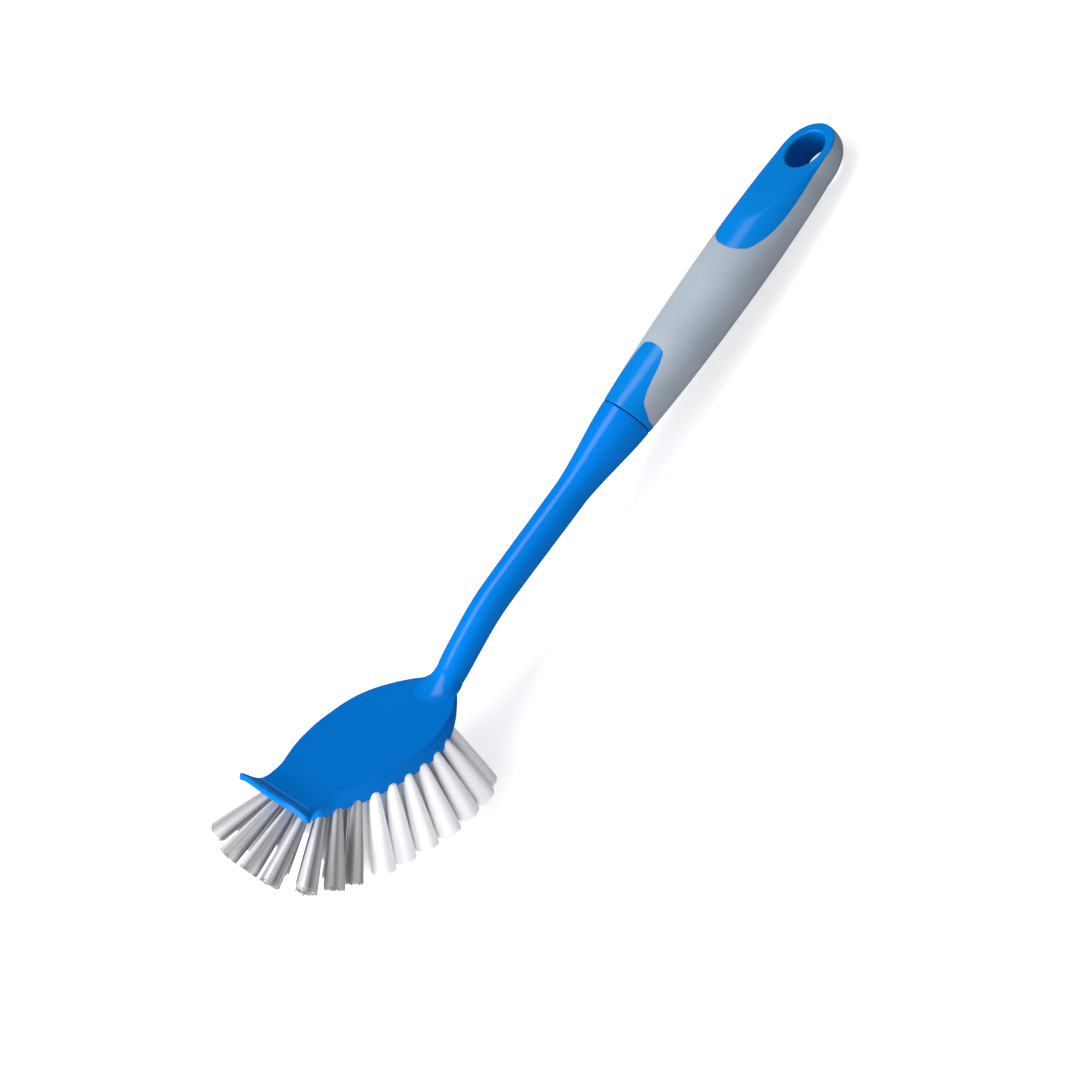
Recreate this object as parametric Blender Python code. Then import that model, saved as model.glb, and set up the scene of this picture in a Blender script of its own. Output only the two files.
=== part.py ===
# Kitchen brush: an oval head with a fan of bristle tufts, a bent neck and round shaft,
# and a soft-gripped handle with a hang hole, pressed onto the shaft's spigot.
# Everything is modelled in the head's own frame (origin where the neck leaves the head's
# flat top, +X towards the handle, +Z out of the flat top) and is then laid down as the brush
# rests on a table: on the tips of its rear tufts and on the end of its handle.
from math import cos, pi, radians, sin, tan

import bmesh
import bpy
import numpy as np
from mathutils import Matrix, Vector

# Fits
FIT_GAP = 0.0003            # between pieces that touch or seat in one another
CUT_OVERRUN = 0.002         # how far a cutter runs past the faces it opens

# Head: one moulding with the neck and the shaft
HEAD_LENGTH = 0.0742        # rear end to the lip's front edge
HEAD_WIDTH = 0.0398         # widest, across the flat top
HEAD_REAR = -0.0017         # the head's rear end, along X from the neck's origin
WALL_HEIGHT = 0.0071        # side wall, flat top to the edge of the tuft face
TUFT_FACE_CAMBER = 0.0016   # how far the middle of the tuft face bulges below its edge
TOP_EDGE_RADIUS = 0.0011
BOTTOM_EDGE_RADIUS = 0.0009
BODY_FRONT_SETBACK = 0.0062  # the tuft-carrying body's front wall, behind the lip's edge
BODY_NOSE_LENGTH = 0.0085   # along which the body's front corners are rounded
LIP_HEIGHT = 0.0046         # the lip's edge above the flat top
LIP_LENGTH = 0.0072         # along which the flat top curves up into the lip
LIP_EDGE_THICKNESS = 0.0024
LIP_ROOT_THICKNESS = 0.0021
LIP_SWEEP = 0.0017          # how far the lip is swept back at half the head's width
LIP_DROOP_SHARE = 0.40      # how far the lip's ends sag, as a share of its height
LIP_END_SHARE = 0.85        # thickness of the lip's ends, as a share of that in its middle

# Plan of the flat top: share of the head's length from its rear end, share of half the width
TOP_PLAN_SHARES = [(0.0, 0.26), (0.010, 0.32), (0.020, 0.365), (0.045, 0.455), (0.077, 0.558),
                   (0.145, 0.732), (0.212, 0.865), (0.290, 0.962), (0.367, 1.0), (0.444, 0.998),
                   (0.521, 0.980), (0.598, 0.922), (0.675, 0.838), (0.743, 0.734), (0.801, 0.641),
                   (0.849, 0.610), (0.885, 0.602), (0.912, 0.628), (0.935, 0.690), (0.957, 0.775),
                   (0.978, 0.832), (1.0, 0.865)]
# Side band: the flat top's edge slopes down and out towards the lip
SIDE_BAND_HEIGHT = 0.0019
SIDE_BAND_SLOPE = 0.28      # how far it runs out, as a share of its height
SIDE_BAND_SHARES = [(0.0, 0.0), (0.42, 0.0), (0.50, 0.0), (0.58, 0.32), (0.68, 0.85), (0.75, 1.0), (1.0, 1.0)]
HEAD_STATION_SHARES = [0.0, 0.010, 0.022, 0.045, 0.074, 0.11, 0.15, 0.20, 0.26, 0.33, 0.41, 0.49, 0.56,
                       0.62, 0.68, 0.73, 0.77, 0.80, 0.825, 0.85, 0.87, 0.886, 0.90, 0.910, 0.916,
                       0.923, 0.935, 0.947, 0.959, 0.970, 0.981, 0.991, 1.0]
TAIL_DRAFT = 0.0022         # how far the wall's foot lies ahead of the top at the head's rear end
# How far the foot of the wall rises towards the head's rear end, as a share of the wall's height
TAIL_SHARES = [(0.0, 0.48), (0.035, 0.50), (0.074, 0.45), (0.11, 0.30), (0.15, 0.13), (0.19, 0.03),
               (0.24, 0.0), (0.30, 0.0), (1.0, 0.0)]
TAIL_DRAFT_SHARE = 0.090    # of the head's length, along which that draft dies away

# Neck, shaft and collar: round rings along a curve in the plane of symmetry
SHAFT_REACH = 0.0884        # from the neck's origin to the seam, along X
SHAFT_RISE = 0.0513         # and along Z
SHAFT_PATH_SHARES = [(-0.0375, -0.082), (-0.0111, -0.0244), (0.0297, 0.0648), (0.0944, 0.1610),
                     (0.2209, 0.3219), (0.3662, 0.4553), (0.6591, 0.7030), (1.0, 1.0)]
HANDLE_ANGLE = radians(27.44)  # the handle's axis, above the head's flat top
NECK_DIAMETER = 0.0104
NECK_ROOT_LENGTH = 0.0130   # along which the neck rises out of the head and its root flare dies away
# Root flare: share of that length, then the neck's reach sideways, towards the lip and towards
# the handle, as shares of the neck's radius
NECK_ROOT_SHARES = [(0.0, 0.75, 1.45, 0.20), (0.16, 0.92, 1.30, 0.42), (0.33, 1.02, 1.15, 0.72),
                    (0.46, 1.03, 1.06, 0.88), (0.62, 1.01, 1.01, 0.97), (1.0, 1.0, 1.0, 1.0)]
SHAFT_DIAMETER = 0.0114     # just before the collar
COLLAR_DIAMETER = 0.0180    # at the seam
COLLAR_LENGTH = 0.030       # along which the shaft swells into the collar
SEAM_CHAMFER = 0.0004       # on both edges of the seam
SHAFT_RINGS = 26
SPIGOT_DIAMETER = 0.0100
SPIGOT_LENGTH = 0.024
SPIGOT_LEAD = 0.0015        # lead-in taper at the spigot's tip

# Handle: core, soft grip, hang hole
HANDLE_LENGTH = 0.1170
HANDLE_WIDTH = 0.0243       # widest, across
HANDLE_THICKNESS = 0.0201   # at the same place
GRIP_THICKNESS = 0.0022
END_ROUND_LENGTH = 0.0160   # along which the end is rounded in plan
HANDLE_SECTION_SHARES = [(0.0, 0.744, 0.900), (0.09, 0.83, 0.925), (0.22, 0.92, 0.965), (0.38, 0.975, 0.99),
                         (0.54, 1.0, 1.0), (0.70, 0.965, 0.985), (0.80, 0.915, 0.96), (0.855, 0.87, 0.94)]
HANDLE_STATION_SHARES = [0.0, 0.04, 0.09, 0.15, 0.22, 0.30, 0.38, 0.46, 0.54, 0.62, 0.70, 0.76, 0.81,
                         0.855, 0.89, 0.92, 0.945, 0.965, 0.98, 0.991]
PAD_LENGTH = 0.0417         # flat hang pad, from where it leaves the handle's top line to the end
FACET_ANGLE = radians(9.8)
HOLE_LENGTH = 0.0165        # hang hole, along the handle
HOLE_WIDTH = 0.0124
HOLE_END_DISTANCE = 0.0127  # from its middle to the handle's end
EYELET_WALL = 0.0016        # core wall that lines the hole through the grip
RIM_BAND = 0.0003           # strip of core showing below the hang pad's edge

# Side view of the line where the core ends and the grip begins: distance from the seam as a
# share of the handle's length, height over the axis as a share of half its thickness
TONGUE_LINE_SHARES = [(0.015, -1.4), (0.019, 0.02), (0.030, 0.27), (0.045, 0.52), (0.076, 0.66),
                      (0.108, 0.725), (0.173, 0.83), (0.198, 0.90), (0.206, 1.0), (0.210, 1.4)]
PAD_LINE_SHARES = [(0.537, 1.4), (0.540, 1.0), (0.552, 0.89), (0.566, 0.79), (0.602, 0.65),
                   (0.650, 0.53), (0.695, 0.47), (0.766, 0.44), (0.827, 0.44)]

# Bristles
TUFT_DIAMETER = 0.0030      # at the root
TUFT_DEPTH = 0.0032         # how deep a tuft is set below the tuft face's edge
TUFT_LENGTH = 0.0250        # from the edge of the tuft face to the tips
TUFT_FLARE_SHARE = 2.20     # bundle's diameter at the tips, as a share of that at the root
TUFT_BULGE_SHARE = 0.58     # share of that flare reached halfway along
TUFT_INSET = 0.0012         # outer row's middle line, from the side wall
ROW_STEP = 0.0058           # from the outer row to the next
PLUG_SHARE = 0.70           # share of the set depth that is solid, below the strands
STRAND_GAP_SHARE = 0.16     # share of a strand's cell left free at its root
OUTER_TUFTS, OUTER_GREY_TUFTS = 23, 9    # in the row, and how many of them, at its front, are grey
INNER_TUFTS, INNER_GREY_TUFTS = 17, 5
MIDDLE_TUFTS, MIDDLE_GREY_TUFTS = 6, 1
OUTER_ROW_REAR = 0.0112     # rearmost tuft of the outer row, ahead of the neck's origin
INNER_ROW_REAR = 0.0167
INNER_ROW_FRONT = 0.0088    # inner row's foremost tuft, behind the body's front wall
MIDDLE_ROW_SHARES = (0.28, 0.675)  # its ends, as shares of the head's length

# The fan: how far a tuft leans along the head (tangent), by its place on the head's length,
# and how far it leans sideways at half the head's width
LEAN_SHARES = [(0.0, 0.34), (0.166, 0.285), (0.366, 0.02), (0.565, -0.235), (0.685, -0.38),
               (0.765, -0.62), (0.845, -1.18), (0.905, -1.30), (1.0, -1.33)]
SPLAY_SHARES = [(0.0, 0.31), (0.366, 0.30), (0.627, 0.31), (0.765, 0.67), (0.845, 1.84), (0.905, 1.23),
                (1.0, 1.2)]
REACH_SHARES = [(0.0, 1.0), (0.685, 1.0), (0.765, 0.98), (0.845, 0.95), (0.905, 0.87), (1.0, 0.87)]

RING_SIDES = 24
HOLE_SIDES = 8
HANG_HOLE_SIDES = 32

BLUE = (0.0, 0.162, 0.604, 1.0)
BLUE_CORE = (0.0, 0.175, 0.630, 1.0)
GREY_SOFT = (0.366, 0.423, 0.491, 1.0)
WHITE_BRISTLE = (0.84, 0.84, 0.88, 1.0)
GREY_BRISTLE = (0.40, 0.40, 0.41, 1.0)


def clear_scene():
    for item in list(bpy.data.objects):
        bpy.data.objects.remove(item, do_unlink=True)


def make_material(name, colour, roughness):
    material = bpy.data.materials.new(name)
    material.use_nodes = True
    shader = material.node_tree.nodes["Principled BSDF"]
    shader.inputs["Base Color"].default_value = colour
    shader.inputs["Roughness"].default_value = roughness
    shader.inputs["Metallic"].default_value = 0.0
    material.diffuse_color = colour
    return material


def share_curve(pairs, shares):
    # A smooth curve through hand-set shares: cubic Hermite with centred slopes
    places = np.array([pair[0] for pair in pairs])
    values = np.array([pair[1] for pair in pairs])
    slopes = np.gradient(values, places)
    shares = np.clip(np.asarray(shares, float), places[0], places[-1])
    index = np.clip(np.searchsorted(places, shares, side="right") - 1, 0, len(places) - 2)
    step = places[index + 1] - places[index]
    t = (shares - places[index]) / step
    start = (1 + 2 * t) * (1 - t) ** 2 * values[index] + t * (1 - t) ** 2 * step * slopes[index]
    end = t * t * (3 - 2 * t) * values[index + 1] + t * t * (t - 1) * step * slopes[index + 1]
    return start + end


def loft_mesh(name, rings, smooth_angle=radians(35)):
    # Closed skin over rings of points; both ends are capped with a flat face
    mesh = bpy.data.meshes.new(name)
    build = bmesh.new()
    rows = [[build.verts.new(point) for point in ring] for ring in rings]
    count = len(rows[0])
    for lower, upper in zip(rows, rows[1:]):
        for k in range(count):
            after = (k + 1) % count
            build.faces.new((lower[k], lower[after], upper[after], upper[k]))
    build.faces.new(list(reversed(rows[0])))
    build.faces.new(rows[-1])
    bmesh.ops.recalc_face_normals(build, faces=build.faces)
    build.to_mesh(mesh)
    build.free()
    mesh.shade_smooth()
    mesh.set_sharp_from_angle(angle=smooth_angle)
    return mesh


def place(name, mesh, material, parent):
    item = bpy.data.objects.new(name, mesh)
    bpy.context.collection.objects.link(item)
    if material:
        mesh.materials.append(material)
    item.parent = parent
    return item


def place_guide(name, mesh, parent):
    # A cutter or a joined-on shape: it shapes other pieces and isn't a piece itself
    item = place(name, mesh, None, parent)
    item.hide_render = True
    item.display_type = "WIRE"
    return item


def combine(target, other, operation):
    step = target.modifiers.new(operation.lower() + "_" + other.name, "BOOLEAN")
    step.operation = operation
    step.solver = "EXACT"
    step.object = other


def prism_mesh(name, outline, half_width):
    # Side-view outline in the plane of symmetry, extruded to both sides
    left = [(x, half_width, z) for x, z in outline]
    right = [(x, -half_width, z) for x, z in outline]
    return loft_mesh(name, [right, left])


# Head

def head_x(share):
    return HEAD_REAR - HEAD_LENGTH * share


def top_half_width(share):
    return HEAD_WIDTH / 2 * float(share_curve(TOP_PLAN_SHARES, share))


def side_band(share):
    return SIDE_BAND_HEIGHT * max(0.0, float(share_curve(SIDE_BAND_SHARES, share)))


def plate_half_width(share):
    return top_half_width(share) + SIDE_BAND_SLOPE * side_band(share)


def nose_shares():
    # Where the tuft-carrying body starts to round off and where it ends
    end = (HEAD_LENGTH - BODY_FRONT_SETBACK) / HEAD_LENGTH
    return end - BODY_NOSE_LENGTH / HEAD_LENGTH, end


def body_half_width(share):
    start, end = nose_shares()
    if share <= start:
        return plate_half_width(share)
    run = min(1.0, (share - start) / (end - start))
    return min(plate_half_width(share), plate_half_width(start) * (1 - run ** 3) ** (1 / 3))


def face_lift(share):
    # How far the edge of the tuft face rises towards the head's rear end
    return WALL_HEIGHT * max(0.0, float(share_curve(TAIL_SHARES, share)))


def lip_run(share):
    # How far along the lip's curve a station lies: 0 on the flat top, 1 at the lip's edge
    return max(0.0, (share - 1) * HEAD_LENGTH / LIP_LENGTH + 1)


def head_ring(share):
    # Half a cross-section from the top's middle to the tuft face's middle, then mirrored
    wide = plate_half_width(share)
    flat = top_half_width(share)
    low = max(body_half_width(share), BODY_NOSE_LENGTH / 2)
    rise = LIP_HEIGHT * lip_run(share) ** 2
    droop = rise * LIP_DROOP_SHARE
    ends = rise - droop
    flange = LIP_ROOT_THICKNESS + (LIP_EDGE_THICKNESS - LIP_ROOT_THICKNESS) * rise / LIP_HEIGHT
    rim = flange * (1 - (1 - LIP_END_SHARE) * rise / LIP_HEIGHT)
    under = rise - flange
    if share < nose_shares()[1]:
        edge = face_lift(share) - WALL_HEIGHT
        middle = edge - TUFT_FACE_CAMBER * max(0.0, 2 * low / HEAD_WIDTH - TOP_PLAN_SHARES[0][1])
    else:
        edge = under - BOTTOM_EDGE_RADIUS / 2
        middle = edge
    band = min(side_band(share), rim * 0.85)
    top = min(TOP_EDGE_RADIUS, rim * 0.6, wide * 0.22) * (1 - band / SIDE_BAND_HEIGHT * 0.6)
    half = [(0.0, rise),
            (flat * 0.5, rise - droop * 0.5 ** 4),
            (flat * 0.72, rise - droop * 0.72 ** 4),
            (flat - top, ends + droop * 0.15),
            (flat - top * 0.3, ends - top * 0.3),
            (flat, ends - top),
            (wide, ends - max(band, top * 1.2)),
            (wide, ends - rim),
            (max(low, wide - TOP_EDGE_RADIUS), min(under, ends - rim)),
            (low, under - BOTTOM_EDGE_RADIUS / 4),
            (low, min(edge + BOTTOM_EDGE_RADIUS, under - BOTTOM_EDGE_RADIUS / 3)),
            (low - BOTTOM_EDGE_RADIUS, edge),
            (low * 0.5, edge * 0.3 + middle * 0.7),
            (0.0, middle)]
    both = [(-y, z) for y, z in half] + list(reversed(half[1:-1]))
    sweep = LIP_SWEEP * lip_run(share)
    draft = TAIL_DRAFT * max(0.0, 1 - share / TAIL_DRAFT_SHARE)
    return [(head_x(share) + sweep * (2 * y / HEAD_WIDTH) ** 2 + draft * min(0.0, z) / WALL_HEIGHT,
             y, z) for y, z in both]


# Shaft

def shaft_path(count):
    # The spine's points and directions, evenly spaced by share of the path's points
    stations = [(k / (len(SHAFT_PATH_SHARES) - 1)) for k in range(len(SHAFT_PATH_SHARES))]
    xs = [(place_, pair[0]) for place_, pair in zip(stations, SHAFT_PATH_SHARES)]
    zs = [(place_, pair[1]) for place_, pair in zip(stations, SHAFT_PATH_SHARES)]
    shares = np.linspace(0.0, 1.0, count)
    points = np.stack([share_curve(xs, shares) * SHAFT_REACH, share_curve(zs, shares) * SHAFT_RISE], axis=1)
    slopes = np.gradient(points, axis=0)
    slopes[-1] = (cos(HANDLE_ANGLE), sin(HANDLE_ANGLE))
    return points, slopes / np.linalg.norm(slopes, axis=1)[:, None]


def round_ring(x, z, direction, radius_across, radius_up):
    # Points of a ring square to a direction in the plane of symmetry
    ring = []
    for k in range(RING_SIDES):
        turn = 2 * pi * k / RING_SIDES
        across = radius_across * cos(turn)
        up = radius_up * sin(turn)
        ring.append((x - up * direction[1], across, z + up * direction[0]))
    return ring


def shaft_rings():
    points, directions = shaft_path(SHAFT_RINGS)
    lengths = np.concatenate([[0.0], np.cumsum(np.linalg.norm(np.diff(points, axis=0), axis=1))])
    total = lengths[-1]
    rings = []
    for point, direction, length in zip(points, directions, lengths):
        radius = (NECK_DIAMETER + (SHAFT_DIAMETER - NECK_DIAMETER) * length / (total - COLLAR_LENGTH)) / 2
        swell = max(0.0, 1 - (total - length) / COLLAR_LENGTH)
        if swell:
            blend = swell * swell * (3 - 2 * swell)
            radius = (SHAFT_DIAMETER + (COLLAR_DIAMETER - SHAFT_DIAMETER) * (0.5 * blend + 0.5 * swell)) / 2
        root = min(1.0, length / NECK_ROOT_LENGTH)
        across, front, rear = [radius * float(share_curve([(row[0], row[k]) for row in NECK_ROOT_SHARES], root))
                               for k in (1, 2, 3)]
        shift = (front - rear) / 2
        rings.append(round_ring(point[0] - shift * direction[1], point[1] + shift * direction[0],
                                direction, across, (front + rear) / 2))
    axis = directions[-1]

    def on_axis(distance):
        return SHAFT_REACH + axis[0] * distance, SHAFT_RISE + axis[1] * distance

    full = COLLAR_DIAMETER / 2
    spigot = SPIGOT_DIAMETER / 2
    rings[-1] = round_ring(*on_axis(-SEAM_CHAMFER), axis, full, full)
    rings.append(round_ring(*on_axis(0.0), axis, full - SEAM_CHAMFER, full - SEAM_CHAMFER))
    rings.append(round_ring(*on_axis(0.0), axis, spigot, spigot))
    rings.append(round_ring(*on_axis(SPIGOT_LENGTH - SPIGOT_LEAD), axis, spigot, spigot))
    tip = spigot - SPIGOT_LEAD / 2
    rings.append(round_ring(*on_axis(SPIGOT_LENGTH), axis, tip, tip))
    return rings


# Handle, in its own frame: X along its axis from the seam, Z out of its top

def handle_axes(share):
    # Half width and half thickness of the handle's outer skin
    across = HANDLE_WIDTH / 2 * float(share_curve([(s, a) for s, a, b in HANDLE_SECTION_SHARES], share))
    up = HANDLE_THICKNESS / 2 * float(share_curve([(s, b) for s, a, b in HANDLE_SECTION_SHARES], share))
    start = 1 - END_ROUND_LENGTH / HANDLE_LENGTH
    if share > start:
        run = (share - start) / (1 - start)
        across *= (1 - run ** 2.4) ** 0.5
        up *= (1 - run ** 3.2) ** 0.4
    return across, up


def handle_ring(x, across, up):
    return [(x, across * cos(2 * pi * k / RING_SIDES), up * sin(2 * pi * k / RING_SIDES))
            for k in range(RING_SIDES)]


def handle_skin(inset, front):
    # Rings of the handle's outer skin, or of that skin shrunk by an inset
    last = 1 - inset / HANDLE_LENGTH
    rings = []
    for share in HANDLE_STATION_SHARES:
        across, up = handle_axes(share)
        rings.append(handle_ring(HANDLE_LENGTH * share * last, across - inset, up - inset))
    across, up = handle_axes(0.0)
    if inset:
        rings[0] = handle_ring(-front, across - inset, up - inset)
    else:
        rings[0] = handle_ring(front + SEAM_CHAMFER, across, up)
        rings.insert(0, handle_ring(front, across - SEAM_CHAMFER, up - SEAM_CHAMFER))
    return rings


def facet_height(x):
    # Height of the hang pad's plane over the handle's axis
    start = HANDLE_LENGTH - PAD_LENGTH
    return handle_axes(start / HANDLE_LENGTH)[1] - (x - start) * tan(FACET_ANGLE)


def facet_block():
    far = HANDLE_LENGTH + CUT_OVERRUN
    ceiling = HANDLE_THICKNESS
    start = HANDLE_LENGTH - PAD_LENGTH - HANDLE_THICKNESS / 8
    outline = [(start, facet_height(start)), (far, facet_height(far)), (far, ceiling), (start, ceiling)]
    return prism_mesh("facet_block", outline, HANDLE_WIDTH)


def grip_zone(margin):
    # Side-view region that the grip covers, moved out by a margin along its upper line
    half = HANDLE_THICKNESS / 2
    line = [(HANDLE_LENGTH * s - margin, half * h + margin) for s, h in TONGUE_LINE_SHARES]
    line += [(HANDLE_LENGTH * s + margin, half * h + margin) for s, h in PAD_LINE_SHARES]
    far = HANDLE_LENGTH + CUT_OVERRUN
    rim_start = HANDLE_LENGTH * PAD_LINE_SHARES[-1][0]
    for step in (0.45, 1.0):
        x = rim_start + (far - rim_start) * step
        line.append((x, min(line[-1][1], facet_height(x) - RIM_BAND + margin)))
    line.append((far, -HANDLE_THICKNESS))
    line.append((line[0][0], -HANDLE_THICKNESS))
    return line


def oval(length, width):
    # Plan of the hang hole or of a wall round it; no corner lies in the plane of symmetry
    turns = [2 * pi * (k + 0.5) / HANG_HOLE_SIDES for k in range(HANG_HOLE_SIDES)]
    middle = HANDLE_LENGTH - HOLE_END_DISTANCE
    return [(middle + length / 2 * cos(turn), width / 2 * sin(turn)) for turn in turns]


def oval_prism(name, length, width):
    rings = [[(x, y, z) for x, y in oval(length, width)] for z in (-HANDLE_THICKNESS, HANDLE_THICKNESS)]
    return loft_mesh(name, rings)


def build_handle(frame, blue, grey):
    facet = place_guide("facet_cutter", facet_block(), frame)
    hole = place_guide("hang_hole_cutter", oval_prism("hang_hole", HOLE_LENGTH, HOLE_WIDTH), frame)

    core = place("handle_core", loft_mesh("handle_core", handle_skin(0.0, FIT_GAP)), blue, frame)
    bed = place_guide("grip_bed_cutter", prism_mesh("grip_bed", grip_zone(0.0), HANDLE_WIDTH), frame)
    waist = place_guide("core_waist_guide",
                        loft_mesh("core_waist", handle_skin(GRIP_THICKNESS, CUT_OVERRUN)), frame)
    eyelet = place_guide("eyelet_guide", oval_prism("eyelet", HOLE_LENGTH + 2 * EYELET_WALL,
                                                    HOLE_WIDTH + 2 * EYELET_WALL), frame)
    combine(bed, waist, "DIFFERENCE")
    combine(bed, eyelet, "DIFFERENCE")
    socket_radius = SPIGOT_DIAMETER / 2 + FIT_GAP
    axis = (1.0, 0.0)
    socket_rings = [round_ring(-CUT_OVERRUN, 0.0, axis, socket_radius, socket_radius),
                    round_ring(SPIGOT_LENGTH + FIT_GAP, 0.0, axis, socket_radius, socket_radius)]
    socket = place_guide("socket_cutter", loft_mesh("socket", socket_rings), frame)
    for cutter in (facet, bed, hole, socket):
        combine(core, cutter, "DIFFERENCE")

    grip = place("soft_grip", loft_mesh("soft_grip", handle_skin(0.0, FIT_GAP)), grey, frame)
    zone = place_guide("grip_zone_guide", prism_mesh("grip_zone", grip_zone(-FIT_GAP), HANDLE_WIDTH), frame)
    hollow = place_guide("grip_hollow_cutter",
                         loft_mesh("grip_hollow", handle_skin(GRIP_THICKNESS - FIT_GAP, CUT_OVERRUN)), frame)
    ring = place_guide("eyelet_clearance_cutter",
                       oval_prism("eyelet_clearance", HOLE_LENGTH + 2 * (EYELET_WALL + FIT_GAP),
                                  HOLE_WIDTH + 2 * (EYELET_WALL + FIT_GAP)), frame)
    combine(grip, zone, "INTERSECT")
    combine(grip, hollow, "DIFFERENCE")
    combine(grip, ring, "DIFFERENCE")
    return core, grip


# Tufts

def row_line(inset, rear, front):
    # Plan of a row of tufts: from its rear end round the front and back, inset from the side wall
    start = (HEAD_REAR + rear) / HEAD_LENGTH
    end = nose_shares()[1] - front / HEAD_LENGTH
    side = [(head_x(share), body_half_width(share) - inset) for share in np.linspace(start, end, 120)]
    side = [(x, y) for x, y in side if y > 0]
    side.append((head_x(end), 0.0))
    return side + [(x, -y) for x, y in reversed(side[:-1])]


def spread_along(line, count):
    # Evenly spaced places along a line, the first and the last on its ends
    points = np.array(line)
    lengths = np.concatenate([[0.0], np.cumsum(np.linalg.norm(np.diff(points, axis=0), axis=1))])
    marks = np.linspace(0.0, lengths[-1], count)
    return list(zip(np.interp(marks, lengths, points[:, 0]), np.interp(marks, lengths, points[:, 1])))


def tuft_direction(x, y):
    share = (HEAD_REAR - x) / HEAD_LENGTH
    lean = float(share_curve(LEAN_SHARES, share))
    splay = float(share_curve(SPLAY_SHARES, share)) * y / (HEAD_WIDTH / 2)
    return Vector((lean, splay, -1.0)).normalized()


def tuft_lift(x, direction):
    # How much further up along its own direction a tuft is set where the tuft face rises
    return -face_lift((HEAD_REAR - x) / HEAD_LENGTH) / direction.z


def tuft_reach(x):
    # The front tufts are trimmed shorter
    return TUFT_LENGTH * float(share_curve(REACH_SHARES, (HEAD_REAR - x) / HEAD_LENGTH))


def strand_cells():
    # Ten triangular cells of a six-sided bundle: one in the middle and nine round it
    outer = [(cos(pi / 3 * k), sin(pi / 3 * k)) for k in range(6)]
    inner = [(0.42 * cos(2 * pi / 3 * k + pi / 3), 0.42 * sin(2 * pi / 3 * k + pi / 3)) for k in range(3)]
    corners = outer + inner
    cells = [(6, 7, 8)]
    for k in range(3):
        here = 6 + k
        after = 6 + (k + 1) % 3
        a, b, c, d = [(2 * k + step) % 6 for step in range(4)]
        cells += [(here, a, b), (here, b, c), (here, c, after)]
    return corners, cells


def tuft_mesh(name, x, y, bends):
    direction = tuft_direction(x, y)
    side = direction.cross(Vector((1.0, 0.0, 0.0))).normalized()
    other = direction.cross(side)
    mouth = Vector((x, y, -WALL_HEIGHT))
    corners, cells = strand_cells()
    radius = TUFT_DIAMETER / 2

    def at(point, distance, scale):
        return mouth + direction * distance + (side * point[0] + other * point[1]) * radius * scale

    build = bmesh.new()
    lift = tuft_lift(x, direction)
    plug_top = -TUFT_DEPTH * (1 - PLUG_SHARE) - lift
    foot = [build.verts.new(at(corner, -TUFT_DEPTH - lift, 1.0)) for corner in corners[:6]]
    top = [build.verts.new(at(corner, plug_top, 1.0)) for corner in corners]
    build.faces.new(foot)
    for k in range(6):
        after = (k + 1) % 6
        build.faces.new((foot[k], foot[after], top[after], top[k]))
    for cell in cells:
        centre = (sum(corners[k][0] for k in cell) / 3, sum(corners[k][1] for k in cell) / 3)
        base = [top[k] for k in cell]
        slim = 1 - STRAND_GAP_SHARE * 2
        rows = []
        for share in bends:
            flare = 1 + (TUFT_FLARE_SHARE - 1) * (TUFT_BULGE_SHARE if 0 < share < 1 else share)
            distance = plug_top + (tuft_reach(x) - plug_top) * share
            row = []
            for k in cell:
                across = centre[0] * flare + (corners[k][0] - centre[0]) * slim
                along = centre[1] * flare + (corners[k][1] - centre[1]) * slim
                row.append(build.verts.new(at((across, along), distance, 1.0)))
            rows.append(row)
        for lower, upper in zip([base] + rows, rows):
            for k in range(3):
                after = (k + 1) % 3
                build.faces.new((lower[k], lower[after], upper[after], upper[k]))
        build.faces.new(rows[-1])
    bmesh.ops.recalc_face_normals(build, faces=build.faces)
    mesh = bpy.data.meshes.new(name)
    build.to_mesh(mesh)
    build.free()
    return mesh


def hole_rings(x, y):
    direction = tuft_direction(x, y)
    side = direction.cross(Vector((1.0, 0.0, 0.0))).normalized()
    other = direction.cross(side)
    mouth = Vector((x, y, -WALL_HEIGHT))
    radius = TUFT_DIAMETER / 2 + FIT_GAP
    rings = []
    bottom = -TUFT_DEPTH - FIT_GAP - tuft_lift(x, direction)
    for distance in (bottom, TUFT_FACE_CAMBER + CUT_OVERRUN):
        centre = mouth + direction * distance
        turns = [2 * pi * (k + 0.5) / HOLE_SIDES for k in range(HOLE_SIDES)]
        rings.append([centre + (side * cos(turn) + other * sin(turn)) * radius for turn in turns])
    return rings


def tuft_rows():
    # Each row's places, how many of them are grey, and the shares of a strand's length where it bends
    outer = spread_along(row_line(TUFT_INSET, OUTER_ROW_REAR, TUFT_INSET), OUTER_TUFTS)
    inner = spread_along(row_line(TUFT_INSET + ROW_STEP, INNER_ROW_REAR, INNER_ROW_FRONT), INNER_TUFTS)
    middle = spread_along([(head_x(share), 0.0) for share in MIDDLE_ROW_SHARES], MIDDLE_TUFTS)
    return ((outer, OUTER_GREY_TUFTS, (0.0, 0.5, 1.0)), (inner, INNER_GREY_TUFTS, (0.0, 1.0)),
            (middle, MIDDLE_GREY_TUFTS, (0.0, 1.0)))


def build_tufts(frame, white, grey):
    counts = {"white": 0, "grey": 0}
    tufts = []
    for places, greys, bends in tuft_rows():
        foremost = sorted(range(len(places)), key=lambda k: places[k][0])[:greys]
        for k, (x, y) in enumerate(places):
            colour, material = ("grey", grey) if k in foremost else ("white", white)
            counts[colour] += 1
            name = f"{colour}_tuft_{counts[colour]:02d}"
            tufts.append(place(name, tuft_mesh(name, x, y, bends), material, frame))
    return tufts, [spot for row in tuft_rows() for spot in row[0]]


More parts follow.
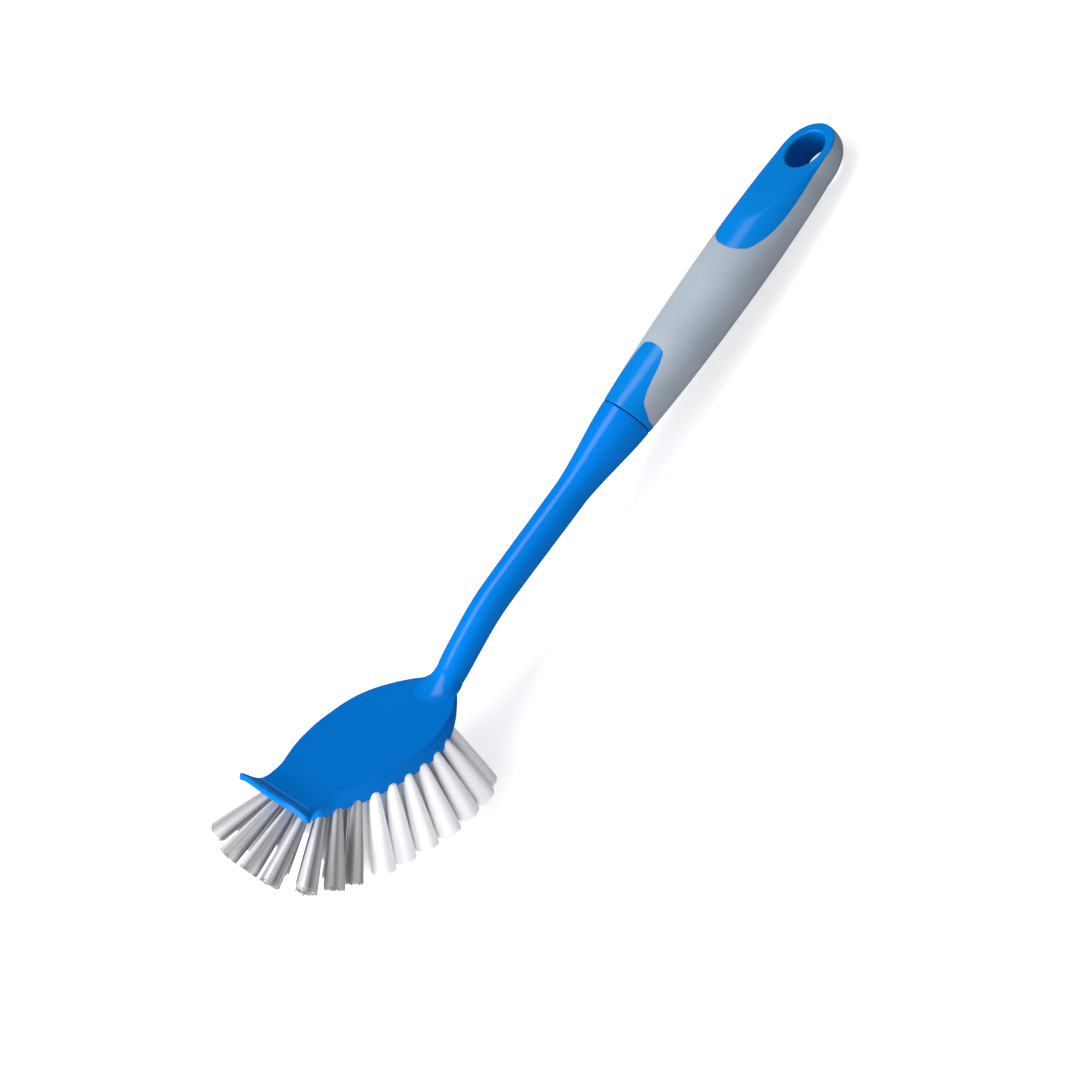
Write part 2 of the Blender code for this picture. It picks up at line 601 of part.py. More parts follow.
def drill_mesh(places):
    build = bmesh.new()
    for x, y in places:
        rows = [[build.verts.new(point) for point in ring] for ring in hole_rings(x, y)]
        for k in range(HOLE_SIDES):
            after = (k + 1) % HOLE_SIDES
            build.faces.new((rows[0][k], rows[0][after], rows[1][after], rows[1][k]))
        build.faces.new(list(reversed(rows[0])))
        build.faces.new(rows[1])
    bmesh.ops.recalc_face_normals(build, faces=build.faces)
    mesh = bpy.data.meshes.new("tuft_drill")
    build.to_mesh(mesh)
    build.free()
    return mesh


# Rest: the brush lies on the rear tufts' tips and on the handle's end

def lowest(points, pitch):
    return min(-x * sin(pitch) + z * cos(pitch) for x, y, z in points)


def handle_underside():
    # Points of the handle's skin that can touch the table: its rings, less what the hang hole
    # takes away, and the lower edge of that hole
    points = []
    middle = HANDLE_LENGTH - HOLE_END_DISTANCE
    for x, y, z in [point for ring in handle_skin(0.0, FIT_GAP) for point in ring]:
        if ((x - middle) * 2 / HOLE_LENGTH) ** 2 + (y * 2 / HOLE_WIDTH) ** 2 > 1:
            points.append((x, y, z))
    for x, y in oval(HOLE_LENGTH, HOLE_WIDTH):
        across, up = handle_axes(x / HANDLE_LENGTH)
        points.append((x, y, -up * max(0.0, 1 - (y / across) ** 2) ** 0.5))
    return points


def rest_pitch(tuft_points, handle_points):
    low, high = radians(10), radians(80)
    for _ in range(50):
        pitch = (low + high) / 2
        if lowest(handle_points, pitch) > lowest(tuft_points, pitch):
            low = pitch
        else:
            high = pitch
    return pitch


def main():
    clear_scene()
    blue = make_material("blue_plastic", BLUE, 0.28)
    blue_core = make_material("blue_core_plastic", BLUE_CORE, 0.28)
    grey_soft = make_material("grey_soft_plastic", GREY_SOFT, 0.62)
    white = make_material("white_bristle", WHITE_BRISTLE, 0.45)
    grey = make_material("grey_bristle", GREY_BRISTLE, 0.5)

    rest = bpy.data.objects.new("rest_frame", None)
    handle = bpy.data.objects.new("handle_frame", None)
    for empty in (rest, handle):
        bpy.context.collection.objects.link(empty)
    handle.parent = rest
    handle.location = (SHAFT_REACH, 0.0, SHAFT_RISE)
    handle.rotation_euler = (0.0, -HANDLE_ANGLE, 0.0)

    tufts, places = build_tufts(rest, white, grey)
    rings = [head_ring(share) for share in HEAD_STATION_SHARES]
    body = place("head_and_shaft", loft_mesh("head_and_shaft", rings), blue, rest)
    shaft = place_guide("shaft_guide", loft_mesh("shaft", shaft_rings()), rest)
    combine(body, shaft, "UNION")
    combine(body, place_guide("tuft_drill_cutter", drill_mesh(places), rest), "DIFFERENCE")
    build_handle(handle, blue_core, grey_soft)

    tilt = Matrix.Rotation(-HANDLE_ANGLE, 3, "Y")
    shift = Vector((SHAFT_REACH, 0.0, SHAFT_RISE))
    handle_points = [tilt @ Vector(point) + shift for point in handle_underside()]
    tuft_points = [v.co for tuft in tufts for v in tuft.data.vertices]
    pitch = rest_pitch(tuft_points, handle_points)
    turn = Matrix.Rotation(pitch, 3, "Y")
    ends = [(turn @ Vector(p)).x for p in list(tuft_points) + handle_points + [q for r in rings for q in r]]
    rest.rotation_euler = (0.0, pitch, 0.0)
    rest.location = (-(min(ends) + max(ends)) / 2, 0.0, -lowest(tuft_points, pitch))
    print("tufts", len(tufts), "rest pitch in degrees", round(pitch * 180 / pi, 3))


main()
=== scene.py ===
import math

import bmesh
import bpy
import numpy as np
from mathutils import Matrix, Vector


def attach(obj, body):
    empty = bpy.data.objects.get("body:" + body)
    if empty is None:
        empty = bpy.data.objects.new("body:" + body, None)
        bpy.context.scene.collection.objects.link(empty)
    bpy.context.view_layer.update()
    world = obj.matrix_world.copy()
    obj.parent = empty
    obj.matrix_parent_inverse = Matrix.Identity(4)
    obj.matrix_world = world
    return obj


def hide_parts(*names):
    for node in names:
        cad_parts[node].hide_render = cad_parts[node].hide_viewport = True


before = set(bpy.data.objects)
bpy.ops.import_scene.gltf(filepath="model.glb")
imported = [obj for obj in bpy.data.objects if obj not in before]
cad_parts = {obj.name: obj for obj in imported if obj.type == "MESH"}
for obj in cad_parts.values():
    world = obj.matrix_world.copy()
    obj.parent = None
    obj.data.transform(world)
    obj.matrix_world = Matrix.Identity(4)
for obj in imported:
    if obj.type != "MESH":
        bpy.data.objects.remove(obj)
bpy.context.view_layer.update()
print("frame loaded,", len(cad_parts), "nodes")

# The head's own frame has its origin at the neck's root, X towards the handle and Z out of the
# flat top. These lay it down as the brush rests on the table, and set the handle's frame in it.
restTurn = math.radians(33.12143)
restPlace = np.array([-0.0673477, 0.0, 0.0243724])
handleTurn = math.radians(-27.86)
handlePlace = np.array([0.0884, 0.0, 0.0513])


def turned(points, angle):
    x, y, z = np.moveaxis(np.asarray(points, float), -1, 0)
    return np.stack([x * math.cos(angle) + z * math.sin(angle), y,
                     z * math.cos(angle) - x * math.sin(angle)], -1)


def headToRow(points):
    return turned(points, restTurn) + restPlace


def handleToRow(points):
    return headToRow(turned(points, handleTurn) + handlePlace)


def smoothCurve(pairs, at):
    # Cubic through listed points: each span is a Hermite piece with centred slopes
    places, values = np.array(pairs, float).T
    slopes = np.gradient(values, places)
    at = np.clip(np.asarray(at, float), places[0], places[-1])
    index = np.clip(np.searchsorted(places, at, side="right") - 1, 0, len(places) - 2)
    step = places[index + 1] - places[index]
    t = (at - places[index]) / step
    return ((1 + 2 * t) * (1 - t) ** 2 * values[index] + t * (1 - t) ** 2 * step * slopes[index]
            + t * t * (3 - 2 * t) * values[index + 1] + t * t * (t - 1) * step * slopes[index + 1])


def gridFaces(rows, columns, around=True):
    # Quads between neighbours of a rows-by-columns grid, joined round the columns if asked
    i, j = np.meshgrid(np.arange(rows - 1), np.arange(columns if around else columns - 1),
                       indexing="ij")
    after = (j + 1) % columns
    return np.stack([i * columns + j, i * columns + after, (i + 1) * columns + after,
                     (i + 1) * columns + j], -1).reshape(-1, 4)


sharpAngle = 40.0


def makePiece(name, points, faces, material, smoothAngle=sharpAngle, weld=2e-6):
    # A mesh from plain arrays: near points are welded, flat slivers go, normals face outwards
    mesh = bpy.data.meshes.new(name)
    mesh.from_pydata(np.asarray(points).reshape(-1, 3).tolist(), [],
                     [list(map(int, f)) for f in faces])
    if weld:
        build = bmesh.new()
        build.from_mesh(mesh)
        bmesh.ops.remove_doubles(build, verts=build.verts, dist=weld)
        bmesh.ops.dissolve_degenerate(build, edges=build.edges, dist=weld / 2)
        bmesh.ops.recalc_face_normals(build, faces=build.faces)
        build.to_mesh(mesh)
        build.free()
    if material:
        mesh.materials.append(material)
    mesh.shade_smooth()
    mesh.set_sharp_from_angle(angle=math.radians(smoothAngle))
    piece = bpy.data.objects.new(name, mesh)
    bpy.context.scene.collection.objects.link(piece)
    return piece


# Materials

def hexColour(code):
    # sRGB hex to linear, with alpha 1
    parts = [int(code[k:k + 2], 16) / 255 for k in (1, 3, 5)]
    linear = [p / 12.92 if p <= 0.04045 else ((p + 0.055) / 1.055) ** 2.4 for p in parts]
    return tuple(linear) + (1.0,)


def addNode(tree, kind, settings=None, links=None):
    # Adds a node; settings are attributes or input values, links go from another node's output
    node = tree.nodes.new(kind)
    for key, value in (settings or {}).items():
        if hasattr(node, key):
            setattr(node, key, value)
        else:
            node.inputs[key].default_value = value
    for key, (source, output) in (links or {}).items():
        tree.links.new(source.outputs[output], node.inputs[key])
    return node


def startMaterial(name, shaderValues):
    material = bpy.data.materials.new(name)
    material.use_nodes = True
    tree = material.node_tree
    shader = tree.nodes["Principled BSDF"]
    for key, value in shaderValues.items():
        shader.inputs[key].default_value = value
    return material, tree, shader


def twoTone(tree, source, output, colours, ends=(0.0, 1.0)):
    # Ramp between two sRGB colours, driven by one output of another node
    ramp = addNode(tree, "ShaderNodeValToRGB", {}, {"Fac": (source, output)})
    for element, code, position in zip(ramp.color_ramp.elements, colours, ends):
        element.position = position
        element.color = hexColour(code)
    return ramp


millimetresPerMetre = 1000
cloudEnds = (0.35, 0.65)


def mouldedPlastic(name, look):
    # Two colours mixed by soft clouds, roughness that varies a little with them, and a fine
    # moulded grain as bump; every size is in millimetres
    material, tree, shader = startMaterial(name, look["shader"])
    place = addNode(tree, "ShaderNodeTexCoord")
    clouds = addNode(tree, "ShaderNodeTexNoise",
                     {"Scale": millimetresPerMetre / look["cloudSize"], "Detail": 3.0},
                     {"Vector": (place, "Object")})
    tint = twoTone(tree, clouds, "Fac", look["colours"], cloudEnds)
    tree.links.new(tint.outputs["Color"], shader.inputs["Base Color"])
    gloss = addNode(tree, "ShaderNodeMapRange",
                    {"To Min": look["roughness"][0], "To Max": look["roughness"][1]},
                    {"Value": (clouds, "Fac")})
    tree.links.new(gloss.outputs["Result"], shader.inputs["Roughness"])
    grain = addNode(tree, "ShaderNodeTexNoise",
                    {"Scale": millimetresPerMetre / look["grainSize"], "Detail": 2.0},
                    {"Vector": (place, "Object")})
    bump = addNode(tree, "ShaderNodeBump",
                   {"Strength": look["grainStrength"],
                    "Distance": look["grainDepth"] / millimetresPerMetre},
                   {"Height": (grain, "Fac")})
    tree.links.new(bump.outputs["Normal"], shader.inputs["Normal"])
    return material


# Injection-moulded polypropylene, polished mould: an even mid blue with a clean gloss
headPlastic = mouldedPlastic("polypropyleneBlueGloss", {
    "shader": {"IOR": 1.49, "Specular IOR Level": 0.20},
    "colours": ("#006BC1", "#006EC5"), "roughness": (0.13, 0.18), "cloudSize": 30.0,
    "grainSize": 0.9, "grainStrength": 0.05, "grainDepth": 0.02})

# The same polypropylene from a finely spark-eroded mould: a softer sheen on the handle's core
corePlastic = mouldedPlastic("polypropyleneBlueSatin", {
    "shader": {"IOR": 1.49, "Specular IOR Level": 0.20},
    "colours": ("#0070BF", "#0073C3"), "roughness": (0.17, 0.23), "cloudSize": 24.0,
    "grainSize": 0.6, "grainStrength": 0.08, "grainDepth": 0.02})

# Thermoplastic elastomer moulded over the core: matte grey with a powdery fine grain
gripRubber = mouldedPlastic("elastomerGreyMatte", {
    "shader": {"IOR": 1.50, "Specular IOR Level": 0.35},
    "colours": ("#909AA5", "#98A2AD"), "roughness": (0.58, 0.68), "cloudSize": 18.0,
    "grainSize": 0.45, "grainStrength": 0.25, "grainDepth": 0.03})


def bristleNylon(name, look):
    # Each filament has its own tone between the two colours, kept as a mesh attribute
    material, tree, shader = startMaterial(name, look["shader"])
    tone = addNode(tree, "ShaderNodeAttribute", {"attribute_name": "tone"})
    tint = twoTone(tree, tone, "Fac", look["colours"])
    tree.links.new(tint.outputs["Color"], shader.inputs["Base Color"])
    return material


# Extruded nylon 6.12 filament, natural white, with a satin skin
whiteNylon = bristleNylon("nylonWhiteFilament", {
    "shader": {"IOR": 1.53, "Roughness": 0.45, "Sheen Weight": 1.0, "Sheen Roughness": 0.5},
    "colours": ("#EEEFF5", "#FFFFFF")})

# The same filament dyed mid grey, with darker strands among it
greyNylon = bristleNylon("nylonGreyFilament", {
    "shader": {"IOR": 1.53, "Roughness": 0.45, "Sheen Weight": 0.2, "Sheen Roughness": 0.6},
    "colours": ("#504E52", "#DCDCDE")})
print("materials made")


# Head: plate with a lip, and below it the body that carries the tufts

head = {"length": 0.0742, "width": 0.0398, "rear": -0.0017, "wall": 0.0071, "camber": 0.0016,
        "topEdge": 0.0011, "bottomEdge": 0.0009, "frontSetback": 0.0062, "nose": 0.0085,
        "lipHeight": 0.0046, "lipLength": 0.0072, "lipEdge": 0.0022, "lipRoot": 0.0021,
        "lipSweep": 0.0017, "lipDroop": 0.54, "lipEnd": 0.85, "tailDraft": 0.0022,
        "bandHeight": 0.0019, "bandSlope": 0.28, "rearRound": 0.0009, "frontRound": 0.0009,
        "frontUnderShare": 0.4, "cornerRound": 0.0018,
        "roundSteps": 9, "plateSteps": 120, "noseSteps": 26, "lipSteps": 40,
        "columns": 70, "columnSpread": 0.9, "wallSteps": 7,
        "bandLimit": 0.8, "edgeLimit": 0.55, "edgeOfWidth": 0.22, "edgeLossAtBand": 0.6,
        "footLimit": 0.5, "brimLimit": 1.2,
        "plan": [(0.0, 0.26), (0.010, 0.32), (0.020, 0.365), (0.045, 0.455), (0.077, 0.558),
                 (0.145, 0.732), (0.212, 0.865), (0.290, 0.962), (0.367, 1.0), (0.444, 0.998),
                 (0.521, 0.980), (0.598, 0.922), (0.675, 0.838), (0.743, 0.734), (0.801, 0.641),
                 (0.849, 0.610), (0.885, 0.602), (0.912, 0.628), (0.935, 0.690), (0.957, 0.775),
                 (0.978, 0.840), (1.0, 0.885)],
        "band": [(0.0, 0.0), (0.42, 0.0), (0.50, 0.0), (0.58, 0.32), (0.68, 0.85), (0.75, 1.0),
                 (1.0, 1.0)],
        "tail": [(0.0, 0.48), (0.035, 0.50), (0.074, 0.45), (0.11, 0.30), (0.15, 0.13),
                 (0.19, 0.03), (0.24, 0.0), (0.30, 0.0), (1.0, 0.0)], "tailDraftShare": 0.090}


def noseShares():
    end = 1 - head["frontSetback"] / head["length"]
    return end - head["nose"] / head["length"], end


def sideBand(share):
    # The sloping band below the flat top's edge, which starts halfway and runs to the lip
    return head["bandHeight"] * np.maximum(0, smoothCurve(head["band"], share))


def flatHalfWidth(share):
    return head["width"] / 2 * smoothCurve(head["plan"], share)


def plateHalfWidth(share):
    return flatHalfWidth(share) + head["bandSlope"] * sideBand(share)


def bodyHalfWidth(share):
    # The plate's own plan, rounded off at the front by a superellipse of third power
    start, end = noseShares()
    run = np.clip((share - start) / (end - start), 0, 1)
    nose = plateHalfWidth(start) * np.cbrt(1 - run ** 3)
    return np.where(share <= start, plateHalfWidth(share), np.minimum(plateHalfWidth(share), nose))


def headStations():
    # Places along the head as shares, with how far the section is drawn in there from above, from
    # the sides and from below to round the two ends, and whether the body is there below the plate
    length = head["length"]
    start, end = noseShares()
    rear, front = head["rearRound"] / length, head["frontRound"] / length
    rounds, plates, noses = head["roundSteps"], head["plateSteps"], head["noseSteps"]
    quarter = np.linspace(0, math.pi / 2, rounds)
    turn = np.linspace(0, math.pi / 2, noses)
    shares = np.concatenate([rear * (1 - np.cos(quarter)), np.linspace(rear, start, plates)[1:],
                             (start + (end - start) * np.sin(turn) ** (2 / 3))[1:], [end],
                             np.linspace(end, 1 - front, head["lipSteps"])[1:],
                             1 - front * (1 - np.sin(quarter[1:]))])
    drawn = np.zeros(len(shares))
    drawn[:rounds] = head["rearRound"] * (1 - np.sin(quarter))
    corner = np.clip((shares * length - length) / head["cornerRound"] + 1, 0, 1)
    aside = drawn + head["cornerRound"] * (1 - np.sqrt(1 - corner ** 2))
    below = drawn.copy()
    drawn[1 - rounds:] = head["frontRound"] * (1 - np.cos(quarter[1:]))
    below[1 - rounds:] = head["frontUnderShare"] * drawn[1 - rounds:]
    body = np.arange(len(shares)) < rounds + plates - 1 + noses - 1
    return [v[:, None] for v in (shares, drawn, aside, below, body)]


def headGrid():
    # Half a section for each station: y and z run over the top, down the rounded edge and the
    # plate's side, in under the plate, down the body's wall, round its foot and in under the
    # cambered tuft face. The lip rises by 4 t^3 - 3 t^4 of the run t along it, hollow at first and
    # rounded at its crest, its ends sag with the fourth power of y, and its edge is swept back
    # with the square of y.
    share, drawn, aside, below, body = headStations()
    wide = plateHalfWidth(share) - aside
    flat = flatHalfWidth(share) - aside
    low = np.where(body, np.minimum(bodyHalfWidth(share) - drawn, wide), 0.0)
    low = np.where(share >= noseShares()[1] - 1e-9, 0.0, low)
    run = np.maximum(0, (share - 1) * head["length"] / head["lipLength"] + 1)
    climb = np.minimum(1, run * head["lipLength"] / (head["lipLength"] - head["frontRound"]))
    rise = head["lipHeight"] * (4 * climb ** 3 - 3 * climb ** 4)
    droop = rise * head["lipDroop"]
    flange = head["lipRoot"] + (head["lipEdge"] - head["lipRoot"]) * run ** 2
    thin = (1 - head["lipEnd"]) * run ** 2
    edge = -head["wall"] * (1 - smoothCurve(head["tail"], share)) + drawn

    def top(y):
        return rise - droop * (y / wide) ** 4 - drawn

    def under(y):
        return top(y) - (flange - drawn - below) * (1 - thin * (y / wide) ** 2)

    side = top(wide) - under(wide)
    band = np.minimum(sideBand(share), head["bandLimit"] * side)
    edgeRadius = np.minimum(np.minimum(head["topEdge"], head["edgeLimit"] * side),
                            wide * head["edgeOfWidth"])
    edgeRadius = edgeRadius * (1 - head["edgeLossAtBand"] * band / head["bandHeight"])
    footRadius = np.minimum(head["bottomEdge"], low * head["footLimit"])
    edge = np.where(body, np.minimum(edge, under(low) - footRadius), under(low))
    across = np.linspace(0, 1, head["columns"])[None, :] ** head["columnSpread"]
    back = across[:, ::-1]
    arc = np.linspace(0, math.pi / 2, head["roundSteps"])[None, 1:]
    down = np.linspace(0, 1, head["wallSteps"])[None, 1:]
    camber = head["camber"] * np.maximum(0, 2 * low / head["width"] - head["plan"][0][1])
    camber = np.where(body, camber, 0.0)
    shoulder = flat - edgeRadius
    brim = top(shoulder) - edgeRadius
    bandFoot = top(shoulder) - np.maximum(band, head["brimLimit"] * edgeRadius)
    beneath = wide + (low - wide) * (1 - back)
    runs = [(shoulder * across, top(shoulder * across)),
            (shoulder + edgeRadius * np.sin(arc), top(shoulder) - edgeRadius * (1 - np.cos(arc))),
            (flat + (wide - flat) * down, brim + (bandFoot - brim) * down),
            (wide + 0 * down, bandFoot * (1 - down) + np.minimum(under(wide), bandFoot) * down),
            (beneath, under(beneath)),
            (low + 0 * down, under(low) * (1 - down) + (edge + footRadius) * down),
            (low - footRadius * (1 - np.cos(arc)), edge + footRadius * (1 - np.sin(arc))),
            ((low - footRadius) * back, edge - camber * (1 - back ** 2))]
    y = np.concatenate([r[0] + 0 * share for r in runs], 1)
    z = np.concatenate([r[1] + 0 * share for r in runs], 1)
    draft = head["tailDraft"] * np.maximum(0, 1 - share / head["tailDraftShare"])
    sweep = head["lipSweep"] * run * (2 * y / head["width"]) ** 2
    x = (head["rear"] - head["length"] * share + sweep
         + draft * np.minimum(0, z) / head["wall"])
    marks = np.cumsum([0] + [r[0].shape[1] for r in runs])
    return np.stack([x, y, z], -1), marks


def headFaces(rows, columns, marks):
    # The grid's quads, and two end caps laddered from the top run to the run below it: at the
    # rear that is the tuft face, at the lip the underside of the plate
    faces = gridFaces(rows, columns, around=False).tolist()
    count, underRun, faceRun = marks[1], marks[4], marks[7]
    for row, foot in ((0, faceRun), (rows - 1, underRun)):
        base = row * columns
        cap = [[base + k, base + k + 1, base + foot + count - 2 - k, base + foot + count - 1 - k]
               for k in range(count - 1)]
        cap.append([base + k for k in range(count - 1, foot + 1)])
        faces += cap if row else [f[::-1] for f in cap]
    return faces


neck = {"reach": 0.0884, "rise": 0.0513, "tilt": 27.86,
        "path": [(-0.0375, -0.082), (-0.0111, -0.0244), (0.0297, 0.0648), (0.0944, 0.1610),
                 (0.2209, 0.3219), (0.3662, 0.4553), (0.6591, 0.7030), (1.0, 1.0)],
        "diameter": 0.0104, "shaftDiameter": 0.0114, "collarDiameter": 0.0180,
        "collarLength": 0.030, "rootLength": 0.0130, "seamChamfer": 0.0004,
        "spigotDiameter": 0.0100, "spigotLength": 0.024,
        "root": [(0.0, 0.75, 1.30, 0.20), (0.16, 0.91, 1.20, 0.36), (0.33, 0.99, 1.10, 0.60),
                 (0.46, 1.00, 1.04, 0.74), (0.62, 1.00, 1.01, 0.88), (1.0, 1.0, 1.0, 1.0)],
        "collarEase": 0.5, "seamSteps": 6, "seamFace": 0.8, "spigotLead": 0.0015, "spigotTip": 0.85,
        "fillet": 0.0052, "filletLeast": 1e-5, "filletFrom": 0.45, "filletOver": 1.1,
        "filletSink": 0.00004, "filletFade": 0.0012, "filletRings": 0.25, "rings": 260, "sides": 96}


def neckGrid():
    # Rings square to a smooth path; across and up radii follow the swell of the collar and the
    # root's flare. Near the plate each point is pushed out in plan by a quarter-circle fillet
    # of its height over the flat top, full towards the lip and none towards the handle.
    count = neck["rings"]
    knots = np.linspace(0, 1, len(neck["path"]))
    at = np.linspace(0, 1, count)
    path = np.stack([smoothCurve(list(zip(knots, [p[k] for p in neck["path"]])), at) * neck[size]
                     for k, size in ((0, "reach"), (1, "rise"))], 1)
    slopes = np.gradient(path, axis=0)
    tilt = math.radians(neck["tilt"])
    slopes[-1] = (math.cos(tilt), math.sin(tilt))
    slopes /= np.linalg.norm(slopes, axis=1)[:, None]
    run = np.concatenate([[0], np.cumsum(np.linalg.norm(np.diff(path, axis=0), axis=1))])
    left = run[-1] - run
    radius = (neck["diameter"] + (neck["shaftDiameter"] - neck["diameter"]) * run
              / (run[-1] - neck["collarLength"])) / 2
    swell = np.clip(1 - left / neck["collarLength"], 0, 1)
    ease = neck["collarEase"]
    blend = ease * swell * swell * (3 - 2 * swell) + (1 - ease) * swell
    collar = (neck["shaftDiameter"] + (neck["collarDiameter"] - neck["shaftDiameter"]) * blend) / 2
    radius = np.where(swell > 0, collar, radius)
    root = np.minimum(1, run / neck["rootLength"])
    across, front, rear = [radius * smoothCurve([(r[0], r[k]) for r in neck["root"]], root)
                           for k in (1, 2, 3)]

    # The seam's chamfer and the spigot hidden in the handle: how far past the neck's end each
    # ring lies, and its radius
    axis = slopes[-1]
    full, chamfer = neck["collarDiameter"] / 2, neck["seamChamfer"]
    spigot, depth = neck["spigotDiameter"] / 2, neck["spigotLength"]
    turn = np.linspace(0, math.pi / 2, neck["seamSteps"])
    steps = [(-chamfer + chamfer * math.sin(t), full - chamfer * (1 - math.cos(t))) for t in turn]
    steps += [(0.0, full * neck["seamFace"]), (0.0, spigot), (depth - neck["spigotLead"], spigot),
              (depth, spigot * neck["spigotTip"])]
    steps = np.array(steps)
    kept = left > chamfer
    path = np.concatenate([path[kept], path[-1] + axis * steps[:, :1]])
    slopes = np.concatenate([slopes[kept], [axis] * len(steps)])
    across, front, rear = [np.concatenate([v[kept], steps[:, 1]]) for v in (across, front, rear)]

    angle = np.linspace(0, 2 * math.pi, neck["sides"], endpoint=False)[None, :]
    up = np.sin(angle) * ((front + rear) / 2)[:, None] + ((front - rear) / 2)[:, None]
    x = path[:, :1] - up * slopes[:, 1:]
    y = np.cos(angle) * across[:, None]
    z = path[:, 1:] + up * slopes[:, :1]
    outX = -np.sin(angle) * slopes[:, 1:]
    outY = np.cos(angle) + 0 * outX
    size = np.hypot(outX, outY)
    outX, outY = outX / size, outY / size
    toLip = np.clip((neck["filletFrom"] - outX) / neck["filletOver"], 0, 1)
    fillet = np.maximum(neck["fillet"] * toLip * toLip * (3 - 2 * toLip), neck["filletLeast"])
    height = z + neck["filletSink"]
    rest = np.clip(fillet - np.maximum(height, 0), 0, None)
    push = fillet - np.sqrt(np.maximum(fillet ** 2 - rest ** 2, 0))
    push *= np.clip(1 + height / neck["filletFade"], 0, 1)
    near = (np.arange(len(path)) < neck["rings"] * neck["filletRings"])[:, None]
    push = np.where(near, push, 0)
    return np.stack([x + outX * push, y + outY * push, z], -1)


def closedTube(grid):
    # Grid quads joined round the columns, and a flat face on each end ring
    rows, columns = grid.shape[:2]
    faces = gridFaces(rows, columns).tolist()
    faces.append(list(range(columns))[::-1])
    faces.append([(rows - 1) * columns + k for k in range(columns)])
    return faces


plate, plateMarks = headGrid()
plateFaces = headFaces(plate.shape[0], plate.shape[1], plateMarks)
halfCount = plate.shape[0] * plate.shape[1]
plateFaces += [[k + halfCount for k in reversed(f)] for f in plateFaces]
platePoints = np.concatenate([plate.reshape(-1, 3), plate.reshape(-1, 3) * (1, -1, 1)])
neckRings = neckGrid()
headAndShaft = makePiece("headAndShaft", headToRow(platePoints), plateFaces, headPlastic)
shaft = makePiece("neckAndShaft", headToRow(neckRings), closedTube(neckRings), headPlastic)
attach(headAndShaft, "root")
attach(shaft, "root")
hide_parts("head_and_shaft")
print("head and shaft made,", len(headAndShaft.data.polygons), "and",
      len(shaft.data.polygons), "faces")


# Handle: core, soft grip and hang hole, in the handle's own frame with X along it from the seam

handle = {"length": 0.1170, "width": 0.0243, "thickness": 0.0201, "gripThickness": 0.0022,
          "gap": 0.0003, "gripGap": 0.00005, "overrun": 0.002,
          "planPower": 2.4, "sidePower": 3.2, "sideRoot": 0.4, "endStop": 0.01, "leastRadius": 2e-5,
          "skinRings": (240, 128), "insideRings": (60, 48), "edgeSteps": 6, "lineSteps": 70,
          "rimSteps": 24, "holeSides": 96, "holeSteps": 9, "socketSides": 64,
          "endRound": 0.0160, "padLength": 0.0417, "padTilt": 9.8, "crease": 0.00008,
          "creaseMost": 60, "chamfer": 0.0004,
          "holeLength": 0.0154, "holeWidth": 0.0120, "holeFromEnd": 0.0115, "holeRound": 0.0008,
          "holeDraft": 0.0006, "eyelet": 0.0016, "rimBand": 0.0003,
          "socketDiameter": 0.0106, "socketDepth": 0.0243,
          "sections": [(0.0, 0.744, 0.900), (0.09, 0.83, 0.925), (0.22, 0.92, 0.965),
                       (0.38, 0.975, 0.99), (0.54, 1.0, 1.0), (0.70, 0.965, 0.985),
                       (0.80, 0.915, 0.96), (0.855, 0.87, 0.94)],
          "tongue": [(0.015, -1.4), (0.019, 0.02), (0.030, 0.27), (0.045, 0.52), (0.076, 0.66),
                     (0.108, 0.725), (0.173, 0.83), (0.198, 0.90), (0.206, 1.0), (0.210, 1.4)],
          "pad": [(0.537, 1.4), (0.540, 1.0), (0.552, 0.89), (0.566, 0.79), (0.602, 0.65),
                  (0.650, 0.53), (0.695, 0.47), (0.766, 0.44), (0.827, 0.44)]}


def handleAxes(share):
    # Half width and half thickness of the skin; the end is rounded by two superellipses
    sections = np.array(handle["sections"])
    across = handle["width"] / 2 * smoothCurve(sections[:, (0, 1)], share)
    up = handle["thickness"] / 2 * smoothCurve(sections[:, (0, 2)], share)
    start = 1 - handle["endRound"] / handle["length"]
    run = np.clip((np.asarray(share, float) - start) / (1 - start), 0, 1)
    return (across * np.sqrt(1 - run ** handle["planPower"]),
            up * (1 - run ** handle["sidePower"]) ** handle["sideRoot"])


def padHeight(x):
    # The pad's plane slopes down from the handle's top towards the end
    start = handle["length"] - handle["padLength"]
    slope = math.tan(math.radians(handle["padTilt"]))
    return handleAxes(start / handle["length"])[1] - (x - start) * slope


